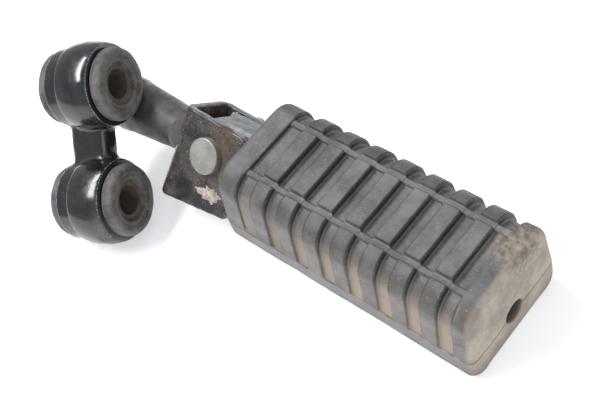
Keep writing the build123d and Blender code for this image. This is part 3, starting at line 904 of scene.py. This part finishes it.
def clevis_paint():
    material, tree, shader, where = new_material("clevis_paint", Coat_Roughness=0.2)
    edge, hollow = vertex_value(tree, "edge"), vertex_value(tree, "hollow")
    colour = mottled(tree, where, 170.0, rgb(0.072, 0.062, 0.055), rgb(0.008, 0.007, 0.008))
    grit = effect(tree, DUST, Where=where, Scale=240.0, Hollow=hollow, Amount=0.5)
    colour = tint(tree, grit, 0.6, colour, rgb(0.19, 0.16, 0.13))
    specks = times(tree, step(tree, blotch(tree, where, 1300.0, 2.0), 0.58, 0.66),
                   step(tree, blotch(tree, where, 120.0, 3.0), 0.36, 0.6))
    colour = tint(tree, specks, 0.7, colour, rgb(0.27, 0.21, 0.16))
    rust = calc(tree, "MAXIMUM", spot(tree, where, hinge_spot(6, -12.2, 8), 8.0, 1.0),
                spot(tree, where, hinge_spot(11, -12.2, -2), 6.0, 1.0))
    rusty = mottled(tree, where, 620.0, rgb(0.19, 0.12, 0.08), rgb(0.055, 0.035, 0.025))
    colour = tint(tree, rust, 0.5, colour, rusty)
    lifted = calc(tree, "MAXIMUM", spot(tree, where, hinge_spot(-8, -12.2, -17), 6.0, 0.9),
                  spot(tree, where, hinge_spot(3, -12.2, -19), 6.5, 0.9))
    colour = tint(tree, lifted, 0.9, colour, rgb(0.016, 0.015, 0.021))
    bare = effect(tree, WEAR, Where=where, Edge=edge, Reach=0.6, Chips=0.25)
    colour = tint(tree, bare, 0.7, colour, rgb(0.34, 0.34, 0.35))
    feed(tree, shader["Base Color"], colour)
    gloss = step(tree, blotch(tree, where, 260.0, 4.0, 0.6), 0.35, 0.7, 0.24, 0.5)
    matt = calc(tree, "MAXIMUM", rust, calc(tree, "MULTIPLY", grit, 0.7))
    feed(tree, shader["Roughness"], calc(tree, "MULTIPLY_ADD", matt, 0.35, gloss))
    feed(tree, shader["Metallic"], calc(tree, "MULTIPLY", bare, 0.6))
    feed(tree, shader["Coat Weight"], calc(tree, "SUBTRACT", 0.35, calc(tree, "MULTIPLY", matt, 0.6),
                                           clamp=True))
    height = effect(tree, GRAIN, Where=where, Fine=1900.0, Coarse=380.0, Share=0.5)
    wrinkle = calc(tree, "MULTIPLY", blotch(tree, where, 380.0, 3.0, 0.6, 1.4),
                   calc(tree, "MULTIPLY", lifted, 3.0))
    feed(tree, shader["Normal"], bump(tree, calc(tree, "ADD", height, wrinkle), 0.5, 0.16))
    return material


HANGER_PAINT, CLEVIS_PAINT = forging_paint(), clevis_paint()
forging.data.materials.append(HANGER_PAINT)
clevis.data.materials.append(CLEVIS_PAINT)

# %% [markdown]
# The four rubber bushes are turned shapes, so each is a section spun round the bore. Their
# flanges have a rounded rim, a shallow step round the mouth and a bulge from being squeezed.
# They are old and brown-grey, and they shine nowhere.

# %% Bush rubber, dirty steel and sleeves dark with painted shade
def bush_rubber():
    material, tree, shader, where = new_material("bush_rubber")
    colour = mottled(tree, where, 130.0, rgb(0.118, 0.112, 0.110), rgb(0.032, 0.030, 0.031))
    dust = effect(tree, DUST, Where=where, Scale=200.0, Hollow=vertex_value(tree, "hollow"), Amount=0.5)
    colour = tint(tree, dust, 0.5, colour, rgb(0.2, 0.188, 0.18))
    scuffed = effect(tree, WEAR, Where=where, Edge=vertex_value(tree, "edge"), Reach=0.5, Chips=0.2)
    colour = tint(tree, scuffed, 0.35, colour, rgb(0.26, 0.24, 0.23))
    mouth = vertex_value(tree, "mouth")
    muddy = mottled(tree, where, 260.0, rgb(0.11, 0.09, 0.07), rgb(0.02, 0.018, 0.016))
    colour = tint(tree, mouth, 0.85, colour, muddy)
    feed(tree, shader["Base Color"], colour)
    feed(tree, shader["Roughness"], step(tree, blotch(tree, where, 200.0), 0.3, 0.7, 0.6, 0.85))
    height = effect(tree, GRAIN, Where=where, Fine=2200.0, Coarse=500.0, Share=0.5)
    feed(tree, shader["Normal"], bump(tree, height, 0.6, 0.2))
    return material


def dirty_steel(name, light, dark, grime, amount, metallic, rough):
    """Steel or plating in two tones under patches of grime."""
    material, tree, shader, where = new_material(name)
    colour = effect(tree, MOTTLE, Where=where, Scale=190.0, Light=light, Dark=dark)
    dirt = effect(tree, DUST, Where=where, Scale=170.0, Hollow=0.3, Amount=amount)
    colour = tint(tree, dirt, 0.9, colour, grime)
    pits = effect(tree, WEAR, Where=where, Edge=0.0, Reach=0.4, Chips=0.35)
    colour = tint(tree, pits, 0.4, colour, grime)
    feed(tree, shader["Base Color"], colour)
    clean = calc(tree, "SUBTRACT", 1.0, dirt)
    feed(tree, shader["Metallic"], calc(tree, "MULTIPLY", clean, metallic))
    varied = step(tree, blotch(tree, where, 320.0), 0.3, 0.7, rough - 0.1, rough + 0.12)
    feed(tree, shader["Roughness"], calc(tree, "MULTIPLY_ADD", dirt, 0.3, varied, clamp=True))
    height = effect(tree, GRAIN, Where=where, Fine=2400.0, Coarse=600.0, Share=0.5)
    feed(tree, shader["Normal"], bump(tree, height, 0.35, 0.1))
    return material


BUSH_RUBBER = bush_rubber()
ZINC = dirty_steel("zinc_plate", rgb(0.39, 0.385, 0.355), rgb(0.25, 0.245, 0.225), rgb(0.20, 0.18, 0.15),
                   0.32, 0.45, 0.42)
# The sleeves are near black: dirt on their ends, and painted shade that keeps the bores dark.
SLEEVE_STEEL = dirty_steel("sleeve_steel", rgb(0.05, 0.043, 0.036), rgb(0.016, 0.014, 0.013),
                           rgb(0.085, 0.066, 0.05),
                           0.6, 0.4, 0.6)
TONGUE_STEEL = dirty_steel("tongue_steel", rgb(0.26, 0.275, 0.28), rgb(0.15, 0.155, 0.16),
                           rgb(0.085, 0.065, 0.05),
                           0.42, 0.35, 0.5)
SPRING_STEEL = dirty_steel("spring_steel", rgb(0.3, 0.3, 0.31), rgb(0.16, 0.16, 0.17),
                           rgb(0.10, 0.07, 0.05),
                           0.45, 0.6, 0.45)
CORE_STEEL = dirty_steel("core_steel", rgb(0.22, 0.21, 0.2), rgb(0.1, 0.09, 0.085), rgb(0.14, 0.09, 0.06),
                         0.5, 0.4, 0.6)

# %% Make the bushes
SEAT, FLANGE = 10.85, 14.6
BUSH_SECTION = [
    (0.1, 7.6), (0.1, 9.2), (0.1, 10.95), (3.5, 10.95), (7.0, 10.95), (SEAT, 10.95), (SEAT, 12.2), (SEAT,
            13.4),
    (11.05, 14.15), (11.5, 14.5), (12.1, FLANGE), (12.9, 14.68), (13.7, 14.66), (14.4, 14.5), (15.0, 14.2),
    (15.45, 13.7), (15.7, 13.1), (15.78, 12.4), (15.76, 11.8), (15.68, 11.3), (15.45, 10.98), (15.25, 10.7),
    (15.2, 10.2), (15.22, 9.6), (15.15, 9.1), (14.9, 8.7), (14.5, 8.35), (14.0, 8.1), (13.65, 7.9), (13.6,
            7.6),
    (9.0, 7.6), (4.5, 7.6),
]


def build_bush(name, node, place, seed, around=112):
    """One flanged half-bush, spun from its section and a little out of round."""
    section = np.array(BUSH_SECTION)
    turns = np.linspace(0, 2 * math.pi, around, endpoint=False)
    rows = [np.column_stack([np.full(around, x), r * np.cos(turns), r * np.sin(turns)]) for x, r in section]
    points = np.concatenate(rows)
    index = np.arange(len(points)).reshape(len(section), around)
    after = np.roll(index, -1, 0)
    quads = np.stack([index, after, np.roll(after, -1, 1), np.roll(index, -1, 1)], -1).reshape(-1, 4)
    bush = mesh_object(name, placed(points, place), quads)
    base, normals = points_of(bush), normals_of(bush)
    outside = np.repeat(ramp(section[:, 0], 11.2, 13.0) * ramp(section[:, 1], 7.8, 8.6), around)
    give = outside * (0.2 * lumps(base, 7, seed) + 0.1 * lumps(base, 2, seed + 1))
    move_points(bush, base + normals * (np.minimum(give, 0.16) * MM)[:, None])
    mark_relief(bush, 0.3, 4)
    keep_value(bush, "mouth", np.repeat(ramp(section[:, 1], 9.4, 8.2) * ramp(section[:, 0], 2.0, 12.0),
                                        around))
    bush.data.materials.append(BUSH_RUBBER)
    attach(bush, "bracket")
    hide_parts(node)
    return bush


bushes = {}
for number, (level, place) in enumerate((("upper", EYE), ("lower", LOWER_EYE))):
    for side, facing in (("outboard", place), ("inboard", place @ turn("Z", 180))):
        node = f"{level}_bush_{side}"
        seed = 11 + 7 * number + (3 if side == "inboard" else 0)
        bushes[node] = (build_bush(f"{level}_{side}_rubber", node, facing, seed), facing)
print(len(bushes), "bushes")

# %% [markdown]
# Where a bush's mould closed, a thin ragged flash is left round the rim of the flange. It is
# the same small sliver over and over, so a Geometry Nodes tree sets slivers round a circle,
# keeps a random few of them and gives each its own size and tilt.

# %% The flash tree
def flash_tree():
    """Geometry Nodes that leave random slivers of rubber round a circle about x."""
    number, whole = "NodeSocketFloat", "NodeSocketInt"
    takes = [("Geometry", "NodeSocketGeometry", None), ("Radius", number, 14.0), ("Along", number, 12.0)]
    takes += [("Places", whole, 150), ("Kept", number, 0.3), ("Sliver", number, 0.6), ("Seed", whole, 1)]
    takes += [("Material", "NodeSocketMaterial", None)]
    tree, given, out = new_tree("mould_flash", "GeometryNodeTree", takes,
                                [("Geometry", "NodeSocketGeometry")])
    circle = add(tree, "GeometryNodeMeshCircle", None, Vertices=given["Places"], Radius=given["Radius"])
    along = add(tree, "ShaderNodeCombineXYZ", None, X=given["Along"])
    stood = add(tree, "GeometryNodeTransform", None, Geometry=circle.outputs[0],
                Translation=along.outputs[0],
                Rotation=(0, math.radians(90), 0))

    def chance(kind, low, high, step_seed):
        made = add(tree, "FunctionNodeRandomValue", {"data_type": kind})
        made.inputs["Seed"].default_value = 0
        feed(tree, made.inputs["Seed"], calc(tree, "ADD", given["Seed"], step_seed))
        first = 0 if kind == "FLOAT_VECTOR" else 2
        made.inputs[first].default_value, made.inputs[first + 1].default_value = low, high
        return made.outputs[0 if kind == "FLOAT_VECTOR" else 1]

    place = add(tree, "GeometryNodeInputPosition").outputs[0]
    clumps = add(tree, "ShaderNodeTexNoise", None, Vector=place, Scale=0.17, Detail=2.0).outputs["Fac"]
    kept = add(tree, "FunctionNodeCompare", {"data_type": "FLOAT", "operation": "LESS_THAN"})
    feed(tree, kept.inputs[0], calc(tree, "MULTIPLY_ADD", chance("FLOAT", 0.0, 1.0, 3.0), 0.35, clumps))
    feed(tree, kept.inputs[1], calc(tree, "ADD", given["Kept"], 0.3))
    sliver = add(tree, "GeometryNodeMeshIcoSphere", {}, Radius=1.0)
    sliver.inputs["Subdivisions"].default_value = 1
    set_on = add(tree, "GeometryNodeInstanceOnPoints", None, Points=stood.outputs[0],
                 Selection=kept.outputs[0],
                 Instance=sliver.outputs[0], Rotation=chance("FLOAT_VECTOR", (0, 0, 0), (6.28, 6.28, 6.28),
                                                             7.0))
    size = add(tree, "ShaderNodeVectorMath", {"operation": "SCALE"}, Scale=given["Sliver"],
               Vector=chance("FLOAT_VECTOR", (0.5, 0.25, 0.12), (1.3, 0.7, 0.3), 11.0))
    feed(tree, set_on.inputs["Scale"], size.outputs[0])
    real = add(tree, "GeometryNodeRealizeInstances", Geometry=set_on.outputs[0])
    painted = add(tree, "GeometryNodeSetMaterial", Geometry=real.outputs[0], Material=given["Material"])
    feed(tree, out["Geometry"], painted.outputs[0])
    return tree


FLASH = flash_tree()


def build_flash(name, place, seed, kept):
    """Ragged slivers round one flange."""
    holder = mesh_object(name + "_holder", [(0, 0, 0)], [])
    mesh = run_tree(holder, FLASH, "flash", Radius=14.45, Along=12.9, Places=170, Kept=kept, Sliver=0.55,
                    Seed=seed, Material=BUSH_RUBBER)
    bpy.data.objects.remove(holder)
    mesh.name = name
    flash = bpy.data.objects.new(name, mesh)
    bpy.context.scene.collection.objects.link(flash)
    move_points(flash, placed(points_of(flash), place))
    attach(flash, "bracket")
    return flash


for number, (node, (bush, facing)) in enumerate(bushes.items()):
    flash = build_flash(bush.name + "_flash", facing, 5 + number, 0.17 if "outboard" in node else 0.24)
    print(flash.name, len(flash.data.polygons), "faces")

# %% [markdown]
# Mud has dried on the clevis. It is two low ragged cakes and one lump, shaped by noise, and
# the loose crumbs round them are scattered by a second small tree.

# %% Dried mud
def mud_finish():
    material, tree, shader, where = new_material("dried_mud")
    colour = mottled(tree, where, 420.0, rgb(0.50, 0.44, 0.38), rgb(0.20, 0.165, 0.135))
    pale = step(tree, blotch(tree, where, 650.0, 4.0, 0.6), 0.55, 0.7)
    colour = tint(tree, pale, 0.6, colour, rgb(0.75, 0.68, 0.58))
    feed(tree, shader["Base Color"], colour)
    feed(tree, shader["Roughness"], step(tree, blotch(tree, where, 500.0), 0.3, 0.7, 0.75, 0.95))
    height = effect(tree, GRAIN, Where=where, Fine=3200.0, Coarse=1100.0, Share=0.6)
    feed(tree, shader["Normal"], bump(tree, height, 0.8, 0.25))
    return material


MUD = mud_finish()


def build_mud(name, centre, across, up, thick, seed, facing=-1, around=64, rings=18):
    """A ragged cake of mud on a plane y = constant of the clevis's frame."""
    turns = np.linspace(0, 2 * math.pi, around, endpoint=False)
    reach = 1 + 0.42 * np.array([noise.noise((2.1 * math.cos(t), 2.1 * math.sin(t), seed)) for t in turns])
    reach += 0.2 * np.array([noise.noise((6 * math.cos(t), 6 * math.sin(t), seed + 5.0)) for t in turns])
    points, faces = [], []
    for ring in range(rings + 1):
        share = ring / rings
        for t, r in zip(turns, reach):
            x, z = across * share * r * math.cos(t), up * share * r * math.sin(t)
            broad = noise.noise((x * 0.55, z * 0.55, seed))
            fine = noise.noise((x * 1.7, z * 1.7, seed))
            rough = 0.65 + 0.55 * broad + 0.35 * fine
            high = thick * max(rough, 0.12) * (1 - share ** 4) - 0.12 * share ** 4
            points.append((centre[0] + x, centre[1] + facing * high, centre[2] + z))
    points.append((centre[0], centre[1] - facing * 0.15, centre[2]))
    for ring in range(rings):
        for k in range(around):
            a, b = ring * around + k, ring * around + (k + 1) % around
            faces.append((a, b, b + around, a + around))
    for k in range(around):
        faces.append((rings * around + k, rings * around + (k + 1) % around, len(points) - 1))
    mud = mesh_object(name, placed(points, HINGE), faces)
    shape = bmesh.new()
    shape.from_mesh(mud.data)
    bmesh.ops.remove_doubles(shape, verts=shape.verts, dist=0.01 * MM)
    bmesh.ops.recalc_face_normals(shape, faces=shape.faces)
    shape.to_mesh(mud.data)
    shape.free()
    mud.data.polygons.foreach_set("use_smooth", [True] * len(mud.data.polygons))
    mud.data.materials.append(MUD)
    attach(mud, "bracket")
    return mud


EAR, INNER_EAR = -12.2, 9.0
cakes = [
    build_mud("mud_cake", (6.2, EAR, -14.2), 4.6, 3.0, 0.8, 2.0),
    build_mud("mud_smear", (1.0, EAR, -14.6), 3.2, 1.6, 0.4, 6.0),
    build_mud("mud_lump", (-7.5, INNER_EAR, 10.6), 3.0, 2.6, 0.6, 4.0),
]
print([cake.name for cake in cakes])


# %% The crumb tree
def crumb_tree():
    """Geometry Nodes that scatter low-sided crumbs over a surface."""
    number, whole = "NodeSocketFloat", "NodeSocketInt"
    takes = [("Geometry", "NodeSocketGeometry", None), ("Density", number, 1.0), ("Crumb", number, 0.2)]
    takes += [("Seed", whole, 1), ("Material", "NodeSocketMaterial", None)]
    tree, given, out = new_tree("crumbs", "GeometryNodeTree", takes, [("Geometry", "NodeSocketGeometry")])
    spread = add(tree, "GeometryNodeDistributePointsOnFaces", None, Mesh=given["Geometry"],
                 Density=given["Density"], Seed=given["Seed"])
    crumb = add(tree, "GeometryNodeMeshIcoSphere", {}, Radius=1.0)
    crumb.inputs["Subdivisions"].default_value = 1
    size = add(tree, "FunctionNodeRandomValue", {"data_type": "FLOAT_VECTOR"})
    size.inputs[0].default_value, size.inputs[1].default_value = (0.35, 0.35, 0.3), (1.2, 1.0, 0.8)
    scaled = add(tree, "ShaderNodeVectorMath", {"operation": "SCALE"}, Vector=size.outputs[0],
                 Scale=given["Crumb"])
    angle = add(tree, "FunctionNodeRandomValue", {"data_type": "FLOAT_VECTOR"})
    angle.inputs[1].default_value = (6.28, 6.28, 6.28)
    set_on = add(tree, "GeometryNodeInstanceOnPoints", None, Points=spread.outputs[0],
                 Instance=crumb.outputs[0], Rotation=angle.outputs[0], Scale=scaled.outputs[0])
    real = add(tree, "GeometryNodeRealizeInstances", Geometry=set_on.outputs[0])
    painted = add(tree, "GeometryNodeSetMaterial", Geometry=real.outputs[0], Material=given["Material"])
    feed(tree, out["Geometry"], painted.outputs[0])
    return tree


CRUMBS = crumb_tree()


def scatter(name, corners, density, size, seed, material):
    """Crumbs on a flat patch given by its four corners in metres; density is per square metre."""
    patch = mesh_object(name + "_patch", corners, [(0, 1, 2, 3)])
    mesh = run_tree(patch, CRUMBS, "crumbs", Density=density, Crumb=size * MM, Seed=seed, Material=material)
    bpy.data.objects.remove(patch)
    mesh.name = name
    crumbs = bpy.data.objects.new(name, mesh)
    bpy.context.scene.collection.objects.link(crumbs)
    return crumbs


def ear_patch(x0, x1, z0, z1, y):
    """Four corners of a patch on an ear, in metres."""
    return placed([(x0, y, z0), (x1, y, z0), (x1, y, z1), (x0, y, z1)], HINGE)


for name, patch, density, size, seed in (
    ("ear_crumbs_low", ear_patch(-3, 13, -19, -9, EAR), 7e5, 0.16, 3),
    ("ear_crumbs_high", ear_patch(2, 14, 0, 13, EAR), 9e5, 0.13, 5),
    ("ear_crumbs_inner", ear_patch(-12, -2, 5, 13, INNER_EAR), 9e5, 0.2, 8),
):
    crumbs = scatter(name, patch, density, size, seed, MUD)
    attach(crumbs, "bracket")
    print(name, len(crumbs.data.polygons), "faces")

# %% [markdown]
# The remade pieces now ride on their bodies and stand for the CAD nodes they replace. The small
# steel pieces keep their CAD shape, which is already right, and only get a finish.

# %% Ride, replace and finish
for obj, body, node, slot in ((pad, "peg", "rubber_pad", "pad_rubber"),
                              (forging, "bracket", "hanger_forging", "hanger_paint"),
                              (clevis, "bracket", "clevis", "clevis_paint")):
    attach(obj, body)
    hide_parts(node)


def finish_node(name, material):
    """Gives a CAD node its finish."""
    nodes[name].data.materials.clear()
    nodes[name].data.materials.append(material)


for names, material in (
    (("hinge_pin", "pin_washer", "split_pin"), ZINC),
    (("upper_sleeve", "lower_sleeve"), SLEEVE_STEEL),
    (("peg_tongue",), TONGUE_STEEL),
    (("thrust_washer", "disc_spring"), SPRING_STEEL),
    (("backing_plate", "core_weld", "core_bar", "end_washer", "end_screw"), CORE_STEEL),
    (("arm_weld",), HANGER_PAINT),
):
    for name in names:
        finish_node(name, material)
print("finished", len(nodes), "CAD nodes")

# %% [markdown]
# The peg lies on a plain white floor, touching it with the pad's outer end and with the lower
# eye, so the floor is a little out of level in the row's frame. A long, narrow light hangs above
# the hanger's side and draws one streak on each barrel, and a dim one fills in from the outer end.
# The paper gives off a little light of its own, which keeps its shadows close and pale.

# %% Floor and light
def lowest_on(obj, direction):
    """How low an object reaches along a direction, in metres."""
    return float((points_of(obj) @ np.array(direction)).min())


FLOOR_UP = Vector((-0.09, 0, 0.996)).normalized()
PAPER_GLOW, SKY_STRENGTH = 0.42, 0.62
PAPER_GAP = 0.0001
floor_level = min(lowest_on(o, FLOOR_UP) for o in (pad, forging, clevis, bushes["lower_bush_inboard"][0]))
print("floor level in mm:", round(floor_level * 1000, 2))
floor_material, tree, shader, where = new_material("white_paper", Roughness=0.9)
feed(tree, shader["Base Color"], mottled(tree, where, 40.0, rgb(0.86, 0.865, 0.875),
                                         rgb(0.84, 0.845, 0.86)))
shader["Emission Color"].default_value = rgb(0.98, 0.99, 1.0)
shader["Emission Strength"].default_value = PAPER_GLOW
flat = FLOOR_UP.to_track_quat("Z", "Y").to_matrix()
reach = 1.6
corners = [flat @ Vector((x, y, 0)) + FLOOR_UP * (floor_level - PAPER_GAP) for x, y in
           ((-reach, -reach), (reach, -reach), (reach, reach), (-reach, reach))]
floor = mesh_object("floor", corners, [(0, 1, 2, 3)], smooth=False)
floor.data.materials.append(floor_material)


def soft_light(name, towards, distance, width, height, watts):
    """An oblong area light that faces the object from a direction."""
    data = bpy.data.lights.new(name, "AREA")
    data.shape, data.size, data.size_y, data.energy = "RECTANGLE", width, height, watts
    light = bpy.data.objects.new(name, data)
    direction = Vector(towards).normalized()
    light.location = AIM + direction * distance
    light.rotation_mode = "QUATERNION"
    light.rotation_quaternion = direction.to_track_quat("Z", "Y")
    bpy.context.scene.collection.objects.link(light)


soft_light("key", (-0.49, -0.18, 0.85), 0.85, 0.9, 0.12, 8.0)
soft_light("fill", (0.9, -0.35, 0.6), 1.1, 0.8, 0.8, 3.0)
world = bpy.data.worlds.new("pale_studio")
world.use_nodes = True
world.node_tree.nodes["Background"].inputs["Color"].default_value = rgb(0.93, 0.96, 1.0)
world.node_tree.nodes["Background"].inputs["Strength"].default_value = SKY_STRENGTH
bpy.context.scene.world = world
bpy.context.scene.view_settings.view_transform = "Standard"

# %% [markdown]
# Last, the view layer is brought up to date.

# %% Bring the scene up to date
bpy.context.view_layer.update()
